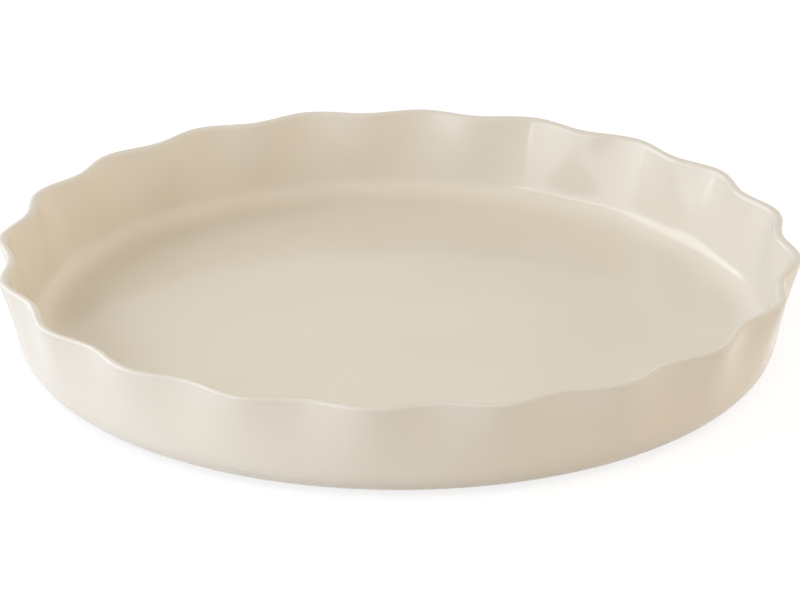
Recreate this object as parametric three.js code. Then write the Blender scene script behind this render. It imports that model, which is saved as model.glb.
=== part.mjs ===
// Round stoneware tart dish with a fluted wall and a rounded, ruffled rim.
// Millimetres, +Z up. The origin is the centre of the foot ring's tread, and a flute's crest lies on +X.

import * as THREE from 'three';
import { mergeGeometries, mergeVertices } from 'three/addons/utils/BufferGeometryUtils.js';

// Overall sizes, measured over the glaze.
const RIM_RADIUS = 140;
const HEIGHT = 37;
const BASE_RADIUS = 133.4;
const FLOOR_THICKNESS = 6.6;
const OUTER_CORNER_RADIUS = 10;
const INNER_CORNER_RADIUS = 5;

// The wall has its full thickness at the floor and thins towards the rim, which has a tight outer round
// and a wider inner one.
const WALL_THICKNESS = 5.8;
const RIM_OUTER_RADIUS = 1.2;
const RIM_INNER_RADIUS = 2.4;

// Flutes: waves of the wall that are deepest at the rim and fade out towards the floor. By the same
// curve the wall opens out, so that its troughs run almost straight up and its crests flare.
const FLUTE_COUNT = 20;
const FLUTE_DEPTH = 4.4;
const FLUTE_FADE = 2;
const RIM_FLARE = 2.7;

// Foot ring, the bare tread that the dish stands on, set in from where the outer corner starts to rise.
const FOOT_INSET = 6.4;
const FOOT_WIDTH = 6;
const FOOT_HEIGHT = 1.4;
const FOOT_CHAMFER = 0.6;

// Glaze, the same thickness all over.
const GLAZE_THICKNESS = 0.5;

// Fineness of the facets.
const STEPS_PER_FLUTE = 6;
const WALL_STEPS = 3;
const OUTER_CORNER_STEPS = 3;
const INNER_CORNER_STEPS = 2;
const RIM_OUTER_STEPS = 2;
const RIM_INNER_STEPS = 2;

const creamGlaze = new THREE.MeshStandardMaterial({ color: 0xdcd3c0, roughness: 0.18, metalness: 0 });
const firedClay = new THREE.MeshStandardMaterial({ color: 0xd8cbb4, roughness: 0.85, metalness: 0 });

// Angle from upright of the line that starts at a foot and touches a round, on its inner side if the
// radius is below zero.
function touchingLean(foot, centre, radius) {
  const reach = centre.clone().sub(foot);
  return Math.atan2(reach.x, reach.y) + Math.asin(radius / reach.length());
}

// Centre of the round between a level face and a leaning wall, whose lines meet at a foot.
function cornerCentre(foot, lean, radius) {
  return new THREE.Vector2(foot.x + radius * (Math.tan(lean) - 1 / Math.cos(lean)), foot.y + radius);
}

// The straight wall, before it is fluted and flared: the rim's two rounds meet on its top, and each
// side of the wall touches the round on its side.
const straightRimRadius = RIM_RADIUS - FLUTE_DEPTH / 2 - RIM_FLARE;
const rimTopRadius = straightRimRadius - RIM_OUTER_RADIUS;
const rimOuterCentre = new THREE.Vector2(rimTopRadius, HEIGHT - RIM_OUTER_RADIUS);
const rimInnerCentre = new THREE.Vector2(rimTopRadius, HEIGHT - RIM_INNER_RADIUS);

const outerFoot = new THREE.Vector2(BASE_RADIUS, FOOT_HEIGHT);
const outerLean = touchingLean(outerFoot, rimOuterCentre, RIM_OUTER_RADIUS);
const outerCornerCentre = cornerCentre(outerFoot, outerLean, OUTER_CORNER_RADIUS);

const floorHeight = FOOT_HEIGHT + FLOOR_THICKNESS;
const innerFoot = new THREE.Vector2(
  BASE_RADIUS + FLOOR_THICKNESS * Math.tan(outerLean) - WALL_THICKNESS / Math.cos(outerLean),
  floorHeight,
);
const innerLean = touchingLean(innerFoot, rimInnerCentre, -RIM_INNER_RADIUS);
const innerCornerCentre = cornerCentre(innerFoot, innerLean, INNER_CORNER_RADIUS);

// Points of an arc, from one angle to another.
function arc(centre, radius, start, end, steps) {
  const clockwise = end < start;
  return new THREE.EllipseCurve(centre.x, centre.y, radius, radius, start, end, clockwise).getPoints(steps);
}

// Points between the ends of two stretches, both left out.
function between(from, to, steps) {
  return new THREE.LineCurve(from.at(-1), to[0]).getPoints(steps).slice(1, -1);
}

// Profile over the corner, the wall, the rim and the floor to the axis, at a depth below the surface.
function upperProfile(depth) {
  const down = -Math.PI / 2;
  const up = Math.PI / 2;
  const outerRadius = OUTER_CORNER_RADIUS - depth;
  const innerRadius = INNER_CORNER_RADIUS + depth;
  const outerCorner = arc(outerCornerCentre, outerRadius, down, -outerLean, OUTER_CORNER_STEPS);
  const rimOuter = arc(rimOuterCentre, RIM_OUTER_RADIUS - depth, -outerLean, up, RIM_OUTER_STEPS);
  const rimInner = arc(rimInnerCentre, RIM_INNER_RADIUS - depth, up, Math.PI - innerLean, RIM_INNER_STEPS);
  const innerCorner = arc(innerCornerCentre, innerRadius, -innerLean, down, INNER_CORNER_STEPS);
  return [
    ...outerCorner,
    ...between(outerCorner, rimOuter, WALL_STEPS),
    ...rimOuter,
    ...rimInner.slice(1),
    ...between(rimInner, innerCorner, WALL_STEPS),
    ...innerCorner,
    new THREE.Vector2(0, floorHeight - depth),
  ];
}

// Swell of the wall's radius by the flare and the flutes, at a height and at an angle round the axis.
function fluteSwell(height, angle) {
  const rise = THREE.MathUtils.clamp((height - FOOT_HEIGHT) / (rimInnerCentre.y - FOOT_HEIGHT), 0, 1);
  const reach = RIM_FLARE + (FLUTE_DEPTH / 2) * Math.cos(FLUTE_COUNT * angle);
  return 1 + (reach / straightRimRadius) * rise ** FLUTE_FADE;
}

// Skin of revolution about Z, ruffled by the flutes.
function flutedSkin(profile) {
  const skin = new THREE.LatheGeometry(profile, FLUTE_COUNT * STEPS_PER_FLUTE);
  skin.rotateX(Math.PI / 2);
  const position = skin.attributes.position;
  for (let i = 0; i < position.count; i += 1) {
    const x = position.getX(i);
    const y = position.getY(i);
    const swell = fluteSwell(position.getZ(i), Math.atan2(y, x));
    position.setXY(i, x * swell, y * swell);
  }
  return skin;
}

// The same skin with its faces turned round.
function turned(skin) {
  const copy = skin.clone();
  const corners = copy.index.array;
  for (let i = 0; i < corners.length; i += 3) {
    [corners[i], corners[i + 1]] = [corners[i + 1], corners[i]];
  }
  return copy;
}

// Closed solid from skins that meet along their edges.
function solid(name, material, skins) {
  const bare = skins.map((skin) => {
    const copy = skin.clone();
    copy.deleteAttribute('normal');
    copy.deleteAttribute('uv');
    return copy;
  });
  const geometry = mergeVertices(mergeGeometries(bare));
  geometry.computeVertexNormals();
  const mesh = new THREE.Mesh(geometry, material);
  mesh.name = name;
  return mesh;
}

// Heights and radii where the clay, the glaze and the foot ring meet.
const clayBaseHeight = FOOT_HEIGHT + GLAZE_THICKNESS;
const footRadius = outerCornerCentre.x - FOOT_INSET;
const footInnerRadius = footRadius - FOOT_WIDTH;

// Skins that the pieces share: the clay under each area of glaze, and the glaze over it.
const footShoulder = new THREE.Vector2(footRadius, FOOT_HEIGHT);
const recessEdge = new THREE.Vector2(footInnerRadius, FOOT_HEIGHT);
const clayUnderCoat = flutedSkin([
  footShoulder,
  new THREE.Vector2(footRadius, clayBaseHeight),
  ...upperProfile(GLAZE_THICKNESS),
]);
const coatSurface = flutedSkin([footShoulder, ...upperProfile(0)]);
const clayOverBase = flutedSkin([
  new THREE.Vector2(0, clayBaseHeight),
  new THREE.Vector2(footInnerRadius, clayBaseHeight),
  recessEdge,
]);
const baseSurface = flutedSkin([new THREE.Vector2(0, FOOT_HEIGHT), recessEdge]);
const footTread = flutedSkin([
  recessEdge,
  new THREE.Vector2(footInnerRadius, FOOT_CHAMFER),
  new THREE.Vector2(footInnerRadius + FOOT_CHAMFER, 0),
  new THREE.Vector2(footRadius - FOOT_CHAMFER, 0),
  new THREE.Vector2(footRadius, FOOT_CHAMFER),
  footShoulder,
]);

const tartDish = new THREE.Group();
tartDish.name = 'tart_dish';
tartDish.add(
  solid('stoneware_body', firedClay, [clayOverBase, footTread, clayUnderCoat]),
  solid('glaze_coat', creamGlaze, [coatSurface, turned(clayUnderCoat)]),
  solid('base_glaze', creamGlaze, [baseSurface, turned(clayOverBase)]),
);

export default tartDish;
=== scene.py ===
"""Cream tart dish with a fluted wall: its glaze and clay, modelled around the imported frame."""

import logging
import math
from collections.abc import Iterable
from dataclasses import dataclass
from enum import Enum
from typing import NamedTuple

import bmesh
import bpy
from mathutils import Matrix, Vector


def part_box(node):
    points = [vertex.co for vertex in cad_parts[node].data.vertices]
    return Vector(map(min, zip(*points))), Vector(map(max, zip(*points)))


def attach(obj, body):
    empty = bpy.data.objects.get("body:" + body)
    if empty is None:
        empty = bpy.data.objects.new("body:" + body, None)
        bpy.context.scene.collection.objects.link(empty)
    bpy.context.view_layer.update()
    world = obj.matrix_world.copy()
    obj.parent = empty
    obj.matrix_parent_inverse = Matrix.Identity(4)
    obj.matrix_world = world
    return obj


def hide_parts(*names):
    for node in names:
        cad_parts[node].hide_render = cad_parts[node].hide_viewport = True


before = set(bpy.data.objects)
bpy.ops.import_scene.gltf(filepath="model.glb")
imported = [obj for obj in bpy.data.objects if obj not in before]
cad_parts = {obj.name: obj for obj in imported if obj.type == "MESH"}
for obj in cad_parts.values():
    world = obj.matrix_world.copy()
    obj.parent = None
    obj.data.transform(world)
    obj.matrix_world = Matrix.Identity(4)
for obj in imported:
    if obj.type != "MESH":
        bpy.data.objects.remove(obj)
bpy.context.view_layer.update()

MM = 0.001
TAU = 2 * math.pi
# Angles on a round of the profile, counted from straight out.
DOWN = -math.pi / 2
UP = math.pi / 2
# Vertices that lie closer than this are one.
MERGE_DISTANCE = 0.001 * MM
WHITE = (1.0, 1.0, 1.0, 1.0)
IMAGE_SIZE = (800, 600)
SENSOR_WIDTH_MM = 36.0

Colour = tuple[float, float, float]
Point = tuple[float, float, float]
SocketValue = float | tuple[float, ...]

log = logging.getLogger("tart_dish")


class Slot(Enum):
    """Material slots of the record."""

    CREAM_GLAZE = "cream_glaze"
    FIRED_CLAY = "fired_clay"


class Node(Enum):
    """Solids of the frame that the pieces stand for."""

    BODY = "stoneware_body"
    COAT = "glaze_coat"
    BASE = "base_glaze"


class Ring(NamedTuple):
    """One level ring of a pot's wall: its radius and its height."""

    radius: float
    height: float


def smoothing_gain(step: float) -> float:
    """How far out a control point sits so that the smoothed curve reaches its mark.

    Smoothing takes 4 parts of a point and 1 of each neighbour, out of 6.

    Args:
        step: angle between neighbouring control points, in radians.

    Returns:
        Factor on the distance from the curve's centre.
    """
    return 6 / (4 + 2 * math.cos(step))


def on_round(centre: Ring, radius: float, angle: float) -> Ring:
    """The ring at an angle on a round of the profile.

    Args:
        centre: centre of the round.
        radius: radius of the round.
        angle: the angle, from straight out.

    Returns:
        The ring.
    """
    return Ring(centre.radius + radius * math.cos(angle), centre.height + radius * math.sin(angle))


def arc(centre: Ring, radius: float, start: float, end: float, steps: int) -> list[Ring]:
    """Control rings along a round stretch of the profile.

    Args:
        centre: centre of the round.
        radius: radius of the round.
        start: angle where it starts, from straight out.
        end: angle where it ends.
        steps: number of stretches that it is split into.

    Returns:
        The rings from start to end, both included.
    """
    turn = (end - start) / steps
    gain = smoothing_gain(turn)
    rings = []
    for i in range(steps + 1):
        reach = radius * (gain if 0 < i < steps else 1)
        rings.append(on_round(centre, reach, start + i * turn))
    return rings


def between(first: Ring, last: Ring, steps: int) -> list[Ring]:
    """Evenly spaced rings between two others.

    Args:
        first: the ring that they follow.
        last: the ring that follows them.
        steps: number of stretches from the first to the last.

    Returns:
        The rings in order, without the first and the last.
    """
    shares = [i / steps for i in range(1, steps)]
    return [
        Ring(
            first.radius + share * (last.radius - first.radius),
            first.height + share * (last.height - first.height),
        )
        for share in shares
    ]


def sunk(rings: list[Ring], depth: float) -> list[Ring]:
    """Rings of a skin that lies under another, at the same depth all along.

    Args:
        rings: the upper skin's rings, from the wall to the floor, with a neighbour at each end.
        depth: how far the lower skin lies under it.

    Returns:
        The lower skin's rings, without the neighbours.
    """
    lower = []
    for before, ring, after in zip(rings, rings[1:], rings[2:]):
        run = after.radius - before.radius
        rise = after.height - before.height
        share = depth / math.hypot(run, rise)
        lower.append(Ring(ring.radius - rise * share, ring.height + run * share))
    return lower


def touching_lean(foot: Ring, centre: Ring, radius: float) -> float:
    """Angle from upright of the line that starts at a foot and touches a round.

    Args:
        foot: where the line starts.
        centre: centre of the round.
        radius: radius of the round, below zero to touch it on the side of the axis.

    Returns:
        The angle in radians.
    """
    out = centre.radius - foot.radius
    rise = centre.height - foot.height
    return math.atan2(out, rise) + math.asin(radius / math.hypot(out, rise))


def corner_centre(foot: Ring, lean: float, radius: float) -> Ring:
    """Centre of the round between a level face and a leaning wall.

    Args:
        foot: where the lines of the face and the wall meet.
        lean: the wall's angle from upright.
        radius: radius of the round.

    Returns:
        The centre.
    """
    return Ring(foot.radius + radius * (math.tan(lean) - 1 / math.cos(lean)), foot.height + radius)


@dataclass(frozen=True)
class DishForm:
    """Driving sizes of the dish, measured over the glaze, and the profile that they give."""

    height: float
    foot_height: float
    glaze: float
    foot_inner_radius: float
    rim_radius: float = 140 * MM
    base_radius: float = 133.4 * MM
    wall: float = 5.8 * MM
    rim_edge: float = 1.2 * MM
    rim_roll: float = 2.4 * MM
    floor: float = 6.6 * MM
    outer_corner: float = 10 * MM
    inner_corner: float = 6 * MM
    corner_run: float = 11 * MM
    foot_width: float = 6 * MM
    foot_chamfer: float = 0.6 * MM
    flute_count: int = 20
    flute_depth: float = 4.4 * MM
    flute_fade: float = 2.0
    rim_flare: float = 2.7 * MM
    corner_steps: int = 4
    wall_steps: int = 3
    rim_steps: int = 3

    @classmethod
    def from_frame(cls) -> "DishForm":
        """Takes the heights, the foot and the glaze's thickness from the solids.

        Returns:
            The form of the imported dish.
        """
        coat_low, coat_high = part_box(Node.COAT.value)
        base_low, base_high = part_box(Node.BASE.value)
        return cls(
            height=coat_high[2],
            foot_height=coat_low[2],
            glaze=base_high[2] - base_low[2],
            foot_inner_radius=base_high[0],
        )

    @property
    def foot_radius(self) -> float:
        """Outer radius of the foot ring."""
        return self.foot_inner_radius + self.foot_width

    @property
    def straight_rim_radius(self) -> float:
        """Radius that the rim would have on a straight wall, before it is fluted and flared."""
        return self.rim_radius - self.flute_depth / 2 - self.rim_flare

    @property
    def rim_edge_centre(self) -> Ring:
        """Centre of the rim's tight outer round."""
        return Ring(self.straight_rim_radius - self.rim_edge, self.height - self.rim_edge)

    @property
    def rim_roll_centre(self) -> Ring:
        """Centre of the rim's wider inner round, which meets the outer one on top."""
        return Ring(self.rim_edge_centre.radius, self.height - self.rim_roll)

    @property
    def floor_height(self) -> float:
        """Height of the floor inside the dish."""
        return self.foot_height + self.floor

    @property
    def base(self) -> Ring:
        """Where the outer wall's line meets the level of the base."""
        return Ring(self.base_radius, self.foot_height)

    @property
    def lean(self) -> float:
        """Angle of the outer wall from upright."""
        return touching_lean(self.base, self.rim_edge_centre, self.rim_edge)

    @property
    def inner_base(self) -> Ring:
        """Where the inner wall's line meets the floor, a wall's thickness inside the outer one."""
        outer = self.base_radius + self.floor * math.tan(self.lean)
        return Ring(outer - self.wall / math.cos(self.lean), self.floor_height)

    @property
    def inner_lean(self) -> float:
        """Angle of the inner wall from upright, which thins the wall towards the rim."""
        return touching_lean(self.inner_base, self.rim_roll_centre, -self.rim_roll)

    def skin(self, depth: float) -> list[Ring]:
        """Rings over the corner, the wall and the rim down to the floor.

        Args:
            depth: how far the skin lies under the glaze's surface.

        Returns:
            The rings in order, the last one on the floor.
        """
        outer = corner_centre(self.base, self.lean, self.outer_corner)
        inner = corner_centre(self.inner_base, self.inner_lean, self.inner_corner)
        edge = self.rim_edge - depth
        roll = self.rim_roll - depth
        outer_round = arc(outer, self.outer_corner - depth, DOWN, -self.lean, self.corner_steps)
        rim_outer = arc(self.rim_edge_centre, edge, -self.lean, UP, self.rim_steps)
        rim_inner = arc(self.rim_roll_centre, roll, UP, math.pi - self.inner_lean, self.rim_steps)
        wall_top = on_round(self.rim_roll_centre, self.rim_roll, math.pi - self.inner_lean)
        plain_round = arc(inner, self.inner_corner, -self.inner_lean, DOWN, self.corner_steps)
        inner_round = sunk([wall_top, *self.run_out(plain_round), Ring(0, self.floor_height)], depth)
        return [
            *outer_round,
            *between(outer_round[-1], rim_outer[0], self.wall_steps),
            *rim_outer,
            *rim_inner[1:],
            *between(rim_inner[-1], inner_round[0], self.wall_steps),
            *inner_round,
        ]

    def run_out(self, rings: list[Ring]) -> list[Ring]:
        """Draws the inner corner's round out along the floor, so that it ends gently.

        Args:
            rings: the rings of the round, from the wall to the floor.

        Returns:
            The rings of the longer corner, which touches the wall and the floor as the round does.
        """
        slope = math.tan(self.inner_lean)
        factor = self.corner_run / (self.inner_base.radius - rings[-1].radius)
        drawn = []
        for ring in rings:
            wall = rings[0].radius - (rings[0].height - ring.height) * slope
            drawn.append(Ring(wall - factor * (wall - ring.radius), ring.height))
        return drawn

    def swell(self, height: float, phase: float) -> float:
        """Factor by which the flare and the flutes move the wall out.

        Args:
            height: height on the wall.
            phase: angle within the flute, 0 on its crest.

        Returns:
            Factor on the radius.
        """
        rise = (height - self.foot_height) / (self.rim_roll_centre.height - self.foot_height)
        share = min(max(rise, 0.0), 1.0) ** self.flute_fade
        reach = self.rim_flare + self.flute_depth / 2 * math.cos(phase)
        return 1 + reach / self.straight_rim_radius * share


@dataclass
class PottersWheel:
    """Raises a pot ring by ring from a circle, with the edit-mode tools, and flutes it."""

    form: DishForm
    steps_per_flute: int = 4
    grid_sides: int = 4
    level_step: float = 0.01 * MM
    least_swell: float = 1e-5

    @property
    def steps(self) -> int:
        """Vertices round the pot."""
        return self.form.flute_count * self.steps_per_flute

    def start(self, name: str, ring: Ring) -> bpy.types.Object:
        """Adds the first ring as a circle and opens it for editing.

        Args:
            name: name of the piece.
            ring: the first ring.

        Returns:
            The new object, in edit mode with its ring selected.
        """
        bpy.ops.object.select_all(action="DESELECT")
        bpy.ops.mesh.primitive_circle_add(
            vertices=self.steps,
            radius=ring.radius * smoothing_gain(TAU / self.steps),
            location=(0, 0, ring.height),
        )
        bpy.ops.object.transform_apply(location=True, rotation=True, scale=True)
        piece = bpy.context.active_object
        piece.name = name
        piece.data.name = name
        bpy.ops.object.mode_set(mode="EDIT")
        bpy.ops.mesh.select_mode(type="VERT")
        bpy.ops.mesh.select_all(action="SELECT")
        return piece

    def raise_wall(self, rings: list[Ring]) -> None:
        """Extrudes the selected ring through the others.

        Args:
            rings: the ring that is selected, then those that follow it.
        """
        for below, above in zip(rings, rings[1:]):
            bpy.ops.mesh.extrude_region_move(
                TRANSFORM_OT_translate={"value": (0, 0, above.height - below.height)}
            )
            factor = above.radius / below.radius
            bpy.ops.transform.resize(value=(factor, factor, 1), center_override=(0, 0, above.height))

    def close_ring(self) -> None:
        """Fills the selected ring with a grid, so that no pole shows."""
        bpy.ops.mesh.fill_grid(span=self.steps // self.grid_sides)

    def close_first_ring(self, piece: bpy.types.Object) -> None:
        """Fills the ring that the pot was started from.

        Args:
            piece: the pot in edit mode.
        """
        self.select(piece, range(self.steps))
        self.close_ring()

    def flute(self, piece: bpy.types.Object) -> None:
        """Draws the crests out and the troughs in, group by group, on every ring of the wall.

        Args:
            piece: the pot in edit mode.
        """
        gain = smoothing_gain(TAU / self.steps_per_flute)
        mesh = bmesh.from_edit_mesh(piece.data)
        mesh.verts.ensure_lookup_table()
        groups: dict[tuple[int, int, int], list[int]] = {}
        for vertex in mesh.verts:
            angle = math.atan2(vertex.co.y, vertex.co.x)
            step = round(angle / TAU * self.steps) % self.steps_per_flute
            level = round(vertex.co.z / self.level_step)
            reach = round(vertex.co.xy.length / self.level_step)
            groups.setdefault((level, reach, step), []).append(vertex.index)
        for (level, _, step), members in groups.items():
            phase = TAU * step / self.steps_per_flute
            factor = 1 + (self.form.swell(level * self.level_step, phase) - 1) * gain
            if abs(factor - 1) < self.least_swell or len(members) != self.form.flute_count:
                continue
            self.select(piece, members)
            bpy.ops.transform.resize(value=(factor, factor, 1), center_override=(0, 0, 0))

    @staticmethod
    def select(piece: bpy.types.Object, members: Iterable[int]) -> None:
        """Selects some vertices of a piece and nothing else.

        Args:
            piece: the pot in edit mode.
            members: the vertices' indices.
        """
        bpy.ops.mesh.select_all(action="DESELECT")
        mesh = bmesh.from_edit_mesh(piece.data)
        mesh.verts.ensure_lookup_table()
        for index in members:
            mesh.verts[index].select = True
        mesh.select_flush_mode()
        bmesh.update_edit_mesh(piece.data)

    @staticmethod
    def leave() -> None:
        """Merges doubles, points the faces out and leaves edit mode."""
        bpy.ops.mesh.select_all(action="SELECT")
        bpy.ops.mesh.remove_doubles(threshold=MERGE_DISTANCE)
        bpy.ops.mesh.normals_make_consistent(inside=False)
        bpy.ops.object.mode_set(mode="OBJECT")


@dataclass(frozen=True)
class Unevenness:
    """Slow waves that a hand-finished pot has, strongest on its wall and rim.

    The foot stays even, up to a number of glaze thicknesses over the base.
    """

    spread: float = 40 * MM
    depth: float = 0.8 * MM
    octaves: int = 1
    floor_share: float = 0.2
    foot_glazes: float = 2.0

    def press(self, piece: bpy.types.Object, form: DishForm) -> None:
        """Moves the control mesh of a piece by a cloud pattern.

        Args:
            piece: the pot before it is smoothed.
            form: its sizes, which say what is wall, floor and foot.
        """
        area = piece.vertex_groups.new(name="uneven")
        for vertex in piece.data.vertices:
            on_wall = vertex.co.z > form.floor_height + form.wall
            on_foot = vertex.co.z < form.foot_height + form.glaze * self.foot_glazes
            weight = 1.0 if on_wall else 0.0 if on_foot else self.floor_share
            area.add([vertex.index], weight, "REPLACE")
        pattern = bpy.data.textures.new("hand_unevenness", type="CLOUDS")
        pattern.noise_scale = self.spread
        pattern.noise_depth = self.octaves
        wave = piece.modifiers.new("unevenness", "DISPLACE")
        wave.texture = pattern
        wave.texture_coords = "LOCAL"
        wave.vertex_group = area.name
        wave.strength = self.depth
        apply_modifier(piece, wave)
        piece.vertex_groups.clear()


def apply_modifier(piece: bpy.types.Object, modifier: bpy.types.Modifier) -> None:
    """Applies one modifier of a piece.

    Args:
        piece: the piece.
        modifier: its modifier.
    """
    bpy.ops.object.select_all(action="DESELECT")
    piece.select_set(True)
    bpy.context.view_layer.objects.active = piece
    bpy.ops.object.modifier_apply(modifier=modifier.name)


def smooth(piece: bpy.types.Object, levels: int) -> None:
    """Subdivides a piece and shades it smooth.

    Args:
        piece: the piece.
        levels: how often its faces are split.
    """
    rounding = piece.modifiers.new("rounding", "SUBSURF")
    rounding.levels = levels
    rounding.render_levels = levels
    apply_modifier(piece, rounding)
    bpy.ops.object.shade_smooth()


def thicken(piece: bpy.types.Object, thickness: float) -> None:
    """Gives a skin its thickness, inwards from its surface.

    Args:
        piece: the skin.
        thickness: its thickness.
    """
    shell = piece.modifiers.new("thickness", "SOLIDIFY")
    shell.thickness = thickness
    shell.offset = -1
    shell.use_even_offset = True
    apply_modifier(piece, shell)


class Palette:
    """Node tree of one material, with short ways to add and join its nodes."""

    def __init__(self, name: str) -> None:
        """Starts a material with an output and Object coordinates.

        Args:
            name: the material's name.
        """
        self.material = bpy.data.materials.new(name)
        self.material.use_nodes = True
        self.tree = self.material.node_tree
        self.tree.nodes.clear()
        self.output = self.add("ShaderNodeOutputMaterial")
        self.place = self.add("ShaderNodeTexCoord")

    def add(self, kind: str, **sockets: SocketValue) -> bpy.types.Node:
        """Adds a node.

        Args:
            kind: the node's type.
            sockets: values of its inputs, named with underscores for spaces.

        Returns:
            The node.
        """
        node = self.tree.nodes.new(kind)
        for name, value in sockets.items():
            node.inputs[name.replace("_", " ")].default_value = value
        return node

    def join(self, start: bpy.types.Node, out: str | int, end: bpy.types.Node, into: str | int) -> None:
        """Links one node's output to another's input.

        Args:
            start: the node that gives the value.
            out: its output.
            end: the node that takes it.
            into: its input.
        """
        self.tree.links.new(start.outputs[out], end.inputs[into])

    def ramp(
        self,
        source: bpy.types.Node,
        out: str | int,
        span: tuple[float, float],
        shares: tuple[float, float] = (0.0, 1.0),
    ) -> bpy.types.Node:
        """Turns a value into a share.

        Args:
            source: node that gives the value.
            out: its output.
            span: the values at which the ramp starts and ends.
            shares: the shares at its start and its end.

        Returns:
            The ramp's node.
        """
        node = self.add(
            "ShaderNodeMapRange",
            From_Min=span[0],
            From_Max=span[1],
            To_Min=shares[0],
            To_Max=shares[1],
        )
        self.join(source, out, node, "Value")
        return node


class Finish(Palette):
    """Palette of a finish: a principled shader with patterns, tints and a bump."""

    def __init__(self, name: str, **sockets: SocketValue) -> None:
        """Starts the finish.

        Args:
            name: the material's name.
            sockets: plain values of its shader, named with underscores for spaces.
        """
        super().__init__(name)
        self.shader = self.add("ShaderNodeBsdfPrincipled", **sockets)
        self.join(self.shader, "BSDF", self.output, "Surface")

    def noise(self, scale: float, detail: float) -> bpy.types.Node:
        """Adds a noise pattern.

        Args:
            scale: its scale per metre.
            detail: how much fine noise it has.

        Returns:
            The noise's node.
        """
        node = self.add("ShaderNodeTexNoise", Scale=scale, Detail=detail)
        self.join(self.place, "Object", node, "Vector")
        return node

    def tint(
        self,
        share: bpy.types.Node,
        under: bpy.types.Node | Colour,
        over: Colour,
    ) -> bpy.types.Node:
        """Lays a colour over another by a share.

        Args:
            share: node that gives the share.
            under: a colour, or the last tint.
            over: the colour laid over it.

        Returns:
            The mix node, whose colour is its output named Result.
        """
        node = self.add("ShaderNodeMix")
        node.data_type = "RGBA"
        inputs = [socket for socket in node.inputs if socket.type == "RGBA"]
        self.tree.links.new(share.outputs[0], node.inputs["Factor"])
        if isinstance(under, bpy.types.Node):
            self.tree.links.new(self.colour_of(under), inputs[0])
        else:
            inputs[0].default_value = (*under, 1)
        inputs[1].default_value = (*over, 1)
        return node

    @staticmethod
    def colour_of(node: bpy.types.Node) -> bpy.types.NodeSocket:
        """The colour output of a mix node.

        Args:
            node: the mix node.

        Returns:
            The output.
        """
        return next(socket for socket in node.outputs if socket.type == "RGBA")

    def paint(self, colour: bpy.types.Node) -> None:
        """Uses a tint as the base colour.

        Args:
            colour: the tint's node.
        """
        self.tree.links.new(self.colour_of(colour), self.shader.inputs["Base Color"])

    def bump(self, pattern: bpy.types.Node, depth: float) -> None:
        """Adds a bump.

        Args:
            pattern: node that gives the height.
            depth: the bump's depth.
        """
        node = self.add("ShaderNodeBump", Strength=1.0, Distance=depth)
        self.join(pattern, 0, node, "Height")
        self.join(node, "Normal", self.shader, "Normal")


@dataclass(frozen=True)
class CreamGlaze:
    """Glossy cream glaze with slow clouds, thin on the rim so that the clay tints it darker, which also
    paints shade on the rim's top, and a faint peel.
    """

    body: Colour = (0.645, 0.607, 0.513)
    cloud: Colour = (0.632, 0.592, 0.496)
    # Darker colour over the rim's top: thin glaze, and painted shade on the rim's top.
    thin_glaze_shade: Colour = (0.605, 0.578, 0.498)
    thin_glaze_shade_heights: tuple[float, float] = (34.0 * MM, 36.8 * MM)
    roughness: float = 0.45
    shine: float = 0.0
    gloss: float = 0.7
    gloss_roughness: float = 0.11
    cloud_scale: float = 22.0
    cloud_detail: float = 3.0
    cloud_span: tuple[float, float] = (0.35, 0.65)
    peel_scale: float = 260.0
    peel_detail: float = 2.0
    peel_depth: float = 0.01 * MM

    def mix(self) -> bpy.types.Material:
        """Builds the material.

        Returns:
            The glaze, whose coat alone makes its gloss.
        """
        finish = Finish(
            Slot.CREAM_GLAZE.value,
            Roughness=self.roughness,
            Specular_IOR_Level=self.shine,
            Coat_Weight=self.gloss,
            Coat_Roughness=self.gloss_roughness,
        )
        clouds = finish.ramp(finish.noise(self.cloud_scale, self.cloud_detail), 0, self.cloud_span)
        colour = finish.tint(clouds, self.body, self.cloud)
        height = finish.add("ShaderNodeSeparateXYZ")
        finish.join(finish.place, "Object", height, "Vector")
        # Tint by height over the rim's top: thin glaze, and painted shade on the rim's top.
        rim_shade_share = finish.ramp(height, "Z", self.thin_glaze_shade_heights)
        finish.paint(finish.tint(rim_shade_share, colour, self.thin_glaze_shade))
        finish.bump(finish.noise(self.peel_scale, self.peel_detail), self.peel_depth)
        return finish.material


@dataclass(frozen=True)
class FiredClay:
    """Bare fired stoneware: matte, finely grained, with small dark specks."""

    body: Colour = (0.56, 0.455, 0.325)
    pale: Colour = (0.64, 0.54, 0.405)
    speck: Colour = (0.30, 0.225, 0.15)
    roughness: float = 0.88
    cloud_scale: float = 60.0
    cloud_detail: float = 4.0
    cloud_span: tuple[float, float] = (0.35, 0.65)
    speck_scale: float = 900.0
    speck_detail: float = 1.0
    speck_span: tuple[float, float] = (0.66, 0.74)
    grain_scale: float = 1500.0
    grain_detail: float = 3.0
    grain_depth: float = 0.15 * MM

    def mix(self) -> bpy.types.Material:
        """Builds the material.

        Returns:
            The clay.
        """
        finish = Finish(Slot.FIRED_CLAY.value, Roughness=self.roughness)
        clouds = finish.ramp(finish.noise(self.cloud_scale, self.cloud_detail), 0, self.cloud_span)
        specks = finish.ramp(finish.noise(self.speck_scale, self.speck_detail), 0, self.speck_span)
        colour = finish.tint(clouds, self.body, self.pale)
        finish.paint(finish.tint(specks, colour, self.speck))
        finish.bump(finish.noise(self.grain_scale, self.grain_detail), self.grain_depth)
        return finish.material


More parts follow.
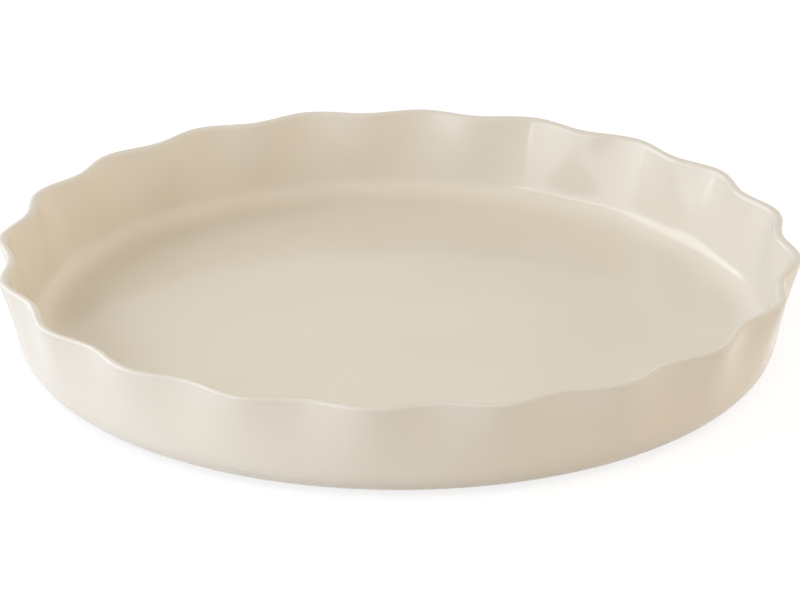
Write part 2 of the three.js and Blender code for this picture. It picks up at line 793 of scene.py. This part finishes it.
@dataclass
class GlazeCoat:
    """The coat over the floor, the wall, the rim and the outside, down to the foot ring."""

    wheel: PottersWheel
    unevenness: Unevenness
    edge_gap: float = 0.05 * MM
    levels: int = 2

    def build(self) -> bpy.types.Object:
        """Models the coat as a closed shell.

        Returns:
            The finished mesh.
        """
        form = self.wheel.form
        edge = Ring(form.foot_radius + self.edge_gap, form.foot_height)
        rings = [edge, *form.skin(0)]
        piece = self.wheel.start("cream_coat", rings[0])
        self.wheel.raise_wall(rings)
        self.wheel.close_ring()
        self.wheel.flute(piece)
        self.wheel.leave()
        self.unevenness.press(piece, form)
        thicken(piece, form.glaze)
        smooth(piece, self.levels)
        return piece


@dataclass
class StonewareBody:
    """The clay under the glaze, with the bare foot ring that shows below."""

    wheel: PottersWheel
    unevenness: Unevenness
    bond_gap: float = 0.04 * MM
    ceiling_rim: float = 1.2 * MM
    levels: int = 2

    def build(self) -> bpy.types.Object:
        """Models the clay as a closed solid.

        Returns:
            The finished mesh.
        """
        form = self.wheel.form
        ceiling = form.foot_height + form.glaze + self.bond_gap
        inner = form.foot_inner_radius
        outer = form.foot_radius
        middle = (inner + outer) / 2
        chamfer = form.foot_chamfer
        rings = [
            Ring(inner - self.ceiling_rim, ceiling),
            Ring(inner, ceiling),
            Ring(inner, chamfer),
            Ring(inner + chamfer, 0),
            Ring(middle, 0),
            Ring(outer - chamfer, 0),
            Ring(outer, chamfer),
            Ring(outer, ceiling),
            *form.skin(form.glaze + self.bond_gap),
        ]
        piece = self.wheel.start("clay_body", rings[0])
        self.wheel.raise_wall(rings)
        self.wheel.close_ring()
        self.wheel.close_first_ring(piece)
        self.wheel.flute(piece)
        self.wheel.leave()
        self.unevenness.press(piece, form)
        smooth(piece, self.levels)
        return piece


@dataclass
class BaseGlaze:
    """The glaze in the recess under the dish, which climbs a little up the foot ring."""

    wheel: PottersWheel
    edge_gap: float = 0.05 * MM
    climb: float = 0.35 * MM
    climb_width: float = 1.6 * MM
    half_climb_width: float = 0.4 * MM
    level_rim: float = 3.2 * MM
    levels: int = 2

    def build(self) -> bpy.types.Object:
        """Models the glaze as a closed disc.

        Returns:
            The finished mesh.
        """
        form = self.wheel.form
        edge = form.foot_inner_radius - self.edge_gap
        top = form.foot_height + form.glaze
        face = form.foot_height
        rings = [
            Ring(edge - self.climb_width, top),
            Ring(edge, top),
            Ring(edge, face - self.climb),
            Ring(edge - self.half_climb_width, face - self.climb / 2),
            Ring(edge - self.climb_width, face),
            Ring(edge - self.level_rim, face),
        ]
        piece = self.wheel.start("recess_glaze", rings[0])
        self.wheel.raise_wall(rings)
        self.wheel.close_ring()
        self.wheel.close_first_ring(piece)
        self.wheel.leave()
        smooth(piece, self.levels)
        return piece


@dataclass(frozen=True)
class Viewpoint:
    """The photograph's camera: where it stands, its lens and where the dish falls in the picture."""

    azimuth: float = math.radians(3.75)
    elevation: float = math.radians(22.43)
    distance: float = 1.5
    pivot: Point = (0.0, 0.0, 21.4 * MM)
    pivot_px: tuple[float, float] = (397.9, 286.6)
    focal_px: float = 4252.0
    roll: float = math.radians(0.125)

    def place(self) -> None:
        """Adds the camera and makes it the scene's."""
        data = bpy.data.cameras.new("photo_camera")
        data.sensor_width = SENSOR_WIDTH_MM
        data.lens = self.focal_px * SENSOR_WIDTH_MM / IMAGE_SIZE[0]
        camera = bpy.data.objects.new("photo_camera", data)
        bpy.context.collection.objects.link(camera)
        across = math.cos(self.elevation)
        back = Vector((
            across * math.sin(self.azimuth),
            -across * math.cos(self.azimuth),
            math.sin(self.elevation),
        ))
        pitch = math.atan((IMAGE_SIZE[1] / 2 - self.pivot_px[1]) / self.focal_px)
        yaw = math.atan((IMAGE_SIZE[0] / 2 - self.pivot_px[0]) / self.focal_px)
        turn = back.to_track_quat("Z", "Y").to_matrix()
        turn = turn @ Matrix.Rotation(-pitch, 3, "X") @ Matrix.Rotation(-yaw, 3, "Y")
        turn = turn @ Matrix.Rotation(self.roll, 3, "Z")
        camera.matrix_world = Matrix.Translation(Vector(self.pivot) + self.distance * back) @ turn.to_4x4()
        bpy.context.scene.camera = camera


@dataclass(frozen=True)
class SoftBox:
    """A flat soft lamp that faces the dish, and that the glaze may mirror or not, in metres and watts."""

    name: str
    place: Point
    size: tuple[float, float]
    power: float
    colour: Colour
    mirrored: bool = True
    aim: Point = (0.0, 0.0, 20 * MM)

    def hang(self) -> None:
        """Adds the lamp."""
        data = bpy.data.lights.new(self.name, "AREA")
        data.shape = "RECTANGLE"
        data.size, data.size_y = self.size
        data.energy = self.power
        data.color = self.colour
        lamp = bpy.data.objects.new(self.name, data)
        bpy.context.collection.objects.link(lamp)
        lamp.visible_glossy = self.mirrored
        lamp.location = self.place
        lamp.rotation_euler = (Vector(self.place) - Vector(self.aim)).to_track_quat("Z", "Y").to_euler()


def seen_share(tree: bpy.types.NodeTree) -> bpy.types.NodeSocket:
    """Adds a share that is 1 where the camera, a reflection or a clear piece looks, and 0 for other light.

    Args:
        tree: node tree of the world or of a material.

    Returns:
        The socket that gives the share.
    """
    rays = tree.nodes.new("ShaderNodeLightPath")
    share = rays.outputs["Is Camera Ray"]
    for kind in ("Is Glossy Ray", "Is Transmission Ray"):
        either = tree.nodes.new("ShaderNodeMath")
        either.operation = "MAXIMUM"
        tree.links.new(share, either.inputs[0])
        tree.links.new(rays.outputs[kind], either.inputs[1])
        share = either.outputs[0]
    return share


@dataclass(frozen=True)
class Studio:
    """White room with a pale floor, windows on the left and plain fills that the glaze does not mirror."""

    floor_size: float = 12.0
    floor_colour: Colour = (0.88, 0.88, 0.88)
    seen_colour: Colour = (0.22, 0.22, 0.22)
    glow_reach: tuple[float, float] = (0.35, 1.0)
    glow_strengths: tuple[float, float] = (0.82, 1.0)
    lamps: tuple[SoftBox, ...] = (
        SoftBox("left_window", (-1.15, -0.53, 0.36), (1.3, 0.56), 4.2, (0.70, 0.77, 1.0)),
        SoftBox("left_skylight", (-1.0, -0.46, 0.74), (1.3, 0.28), 5.4, (0.91, 0.94, 1.0)),
        SoftBox("back_window", (-1.0, 0.53, 0.66), (1.08, 0.95), 8.8, (0.89, 0.93, 1.0)),
        SoftBox("top_fill", (0.0, 0.0, 1.3), (0.9, 0.9), 3.6, (1.0, 0.92, 0.83), mirrored=False),
        SoftBox("front_fill", (0.21, -0.92, 0.97), (0.8, 0.7), 7.8, (1.0, 0.91, 0.85), mirrored=False),
        SoftBox("right_fill", (0.95, 0.0, 0.97), (0.8, 0.7), 3.4, (1.0, 0.74, 0.5), mirrored=False),
        SoftBox("low_fill", (1.35, 0.0, 0.28), (0.9, 0.5), 5.4, (0.93, 0.83, 0.74), mirrored=False),
        SoftBox("back_fill", (0.95, 0.95, 0.28), (0.9, 0.5), 7.2, (1.0, 0.98, 0.94), mirrored=False),
        SoftBox("corner_fill", (-0.95, -0.95, 0.28), (0.9, 0.5), 4.8, (0.87, 0.88, 1.0), mirrored=False),
    )

    def light(self) -> None:
        """Hangs the lamps and makes the room white, but only to the camera and in reflections."""
        for lamp in self.lamps:
            lamp.hang()
        world = bpy.data.worlds.new("white_room")
        bpy.context.scene.world = world
        world.use_nodes = True
        tree = world.node_tree
        tree.nodes.clear()
        output = tree.nodes.new("ShaderNodeOutputWorld")
        white = tree.nodes.new("ShaderNodeBackground")
        white.inputs["Color"].default_value = WHITE
        tree.links.new(seen_share(tree), white.inputs["Strength"])
        tree.links.new(white.outputs[0], output.inputs["Surface"])

    def lay_floor(self) -> None:
        """Adds the pale floor, which the camera sees as white apart from the dish's shadow."""
        bpy.ops.object.select_all(action="DESELECT")
        bpy.ops.mesh.primitive_plane_add(size=self.floor_size)
        floor = bpy.context.active_object
        floor.name = "floor"
        sheet = Palette("pale_floor")
        matte = sheet.add("ShaderNodeBsdfDiffuse", Color=(*self.floor_colour, 1))
        seen = sheet.add("ShaderNodeBsdfDiffuse", Color=(*self.seen_colour, 1))
        glow = sheet.add("ShaderNodeEmission")
        distance = sheet.add("ShaderNodeVectorMath")
        distance.operation = "LENGTH"
        sheet.join(sheet.place, "Object", distance, 0)
        spread = sheet.ramp(distance, "Value", self.glow_reach, self.glow_strengths)
        sheet.join(spread, "Result", glow, "Strength")
        lifted = sheet.add("ShaderNodeAddShader")
        choose = sheet.add("ShaderNodeMixShader")
        sheet.join(seen, 0, lifted, 0)
        sheet.join(glow, 0, lifted, 1)
        sheet.tree.links.new(seen_share(sheet.tree), choose.inputs[0])
        sheet.join(matte, 0, choose, 1)
        sheet.join(lifted, 0, choose, 2)
        sheet.join(choose, 0, sheet.output, "Surface")
        floor.data.materials.append(sheet.material)


def fit(piece: bpy.types.Object, node: Node, material: bpy.types.Material) -> None:
    """Dresses a piece, ties it to the frame and reports it.

    Args:
        piece: the finished mesh.
        node: the solid that it stands for.
        material: its finish.
    """
    piece.data.materials.clear()
    piece.data.materials.append(material)
    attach(piece, "root")
    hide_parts(node.value)
    log.info("%s: %d faces, stands for %s", piece.name, len(piece.data.polygons), node.value)


def main() -> None:
    """Builds the dish piece by piece, then the room, the lamps and the camera."""
    logging.basicConfig(level=logging.INFO, format="%(name)s: %(message)s")
    form = DishForm.from_frame()
    wheel = PottersWheel(form)
    unevenness = Unevenness()
    glaze = CreamGlaze().mix()
    clay = FiredClay().mix()
    fit(StonewareBody(wheel, unevenness).build(), Node.BODY, clay)
    fit(GlazeCoat(wheel, unevenness).build(), Node.COAT, glaze)
    fit(BaseGlaze(wheel).build(), Node.BASE, glaze)
    studio = Studio()
    studio.lay_floor()
    studio.light()
    Viewpoint().place()
    bpy.context.scene.view_settings.view_transform = "Standard"


if __name__ == "__main__":
    main()
